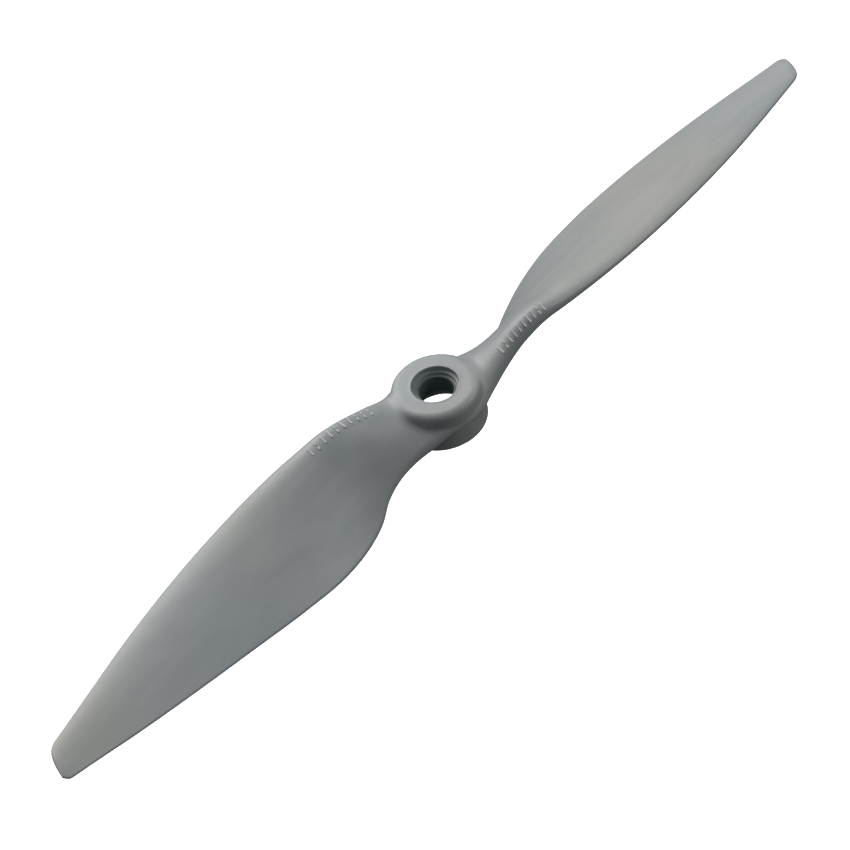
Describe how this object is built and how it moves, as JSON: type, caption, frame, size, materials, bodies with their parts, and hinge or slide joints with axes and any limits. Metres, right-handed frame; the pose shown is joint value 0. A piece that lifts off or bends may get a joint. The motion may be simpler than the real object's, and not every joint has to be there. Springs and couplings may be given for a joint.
{
  "type": "two-blade propeller",
  "caption": "Two-blade push propeller in grey glass-filled nylon, with a plain round hub and a stepped shaft hole.",
  "frame": {"origin": "on the shaft axis, halfway between the lowest and the highest point of the blades", "axes": "+Z along the shaft towards the propeller's front face (the way the thrust pulls the blades' rounded side), +X along the first blade"},
  "size_m": [0.2032, 0.022, 0.0136],
  "materials": {
    "grey_nylon": "semi-matte moulded, faintly mottled by the glass filling"
  },
  "bodies": {
    "root": {"hub": "grey_nylon", "blade_a": "grey_nylon", "blade_b": "grey_nylon"}
  },
  "joints": []
}
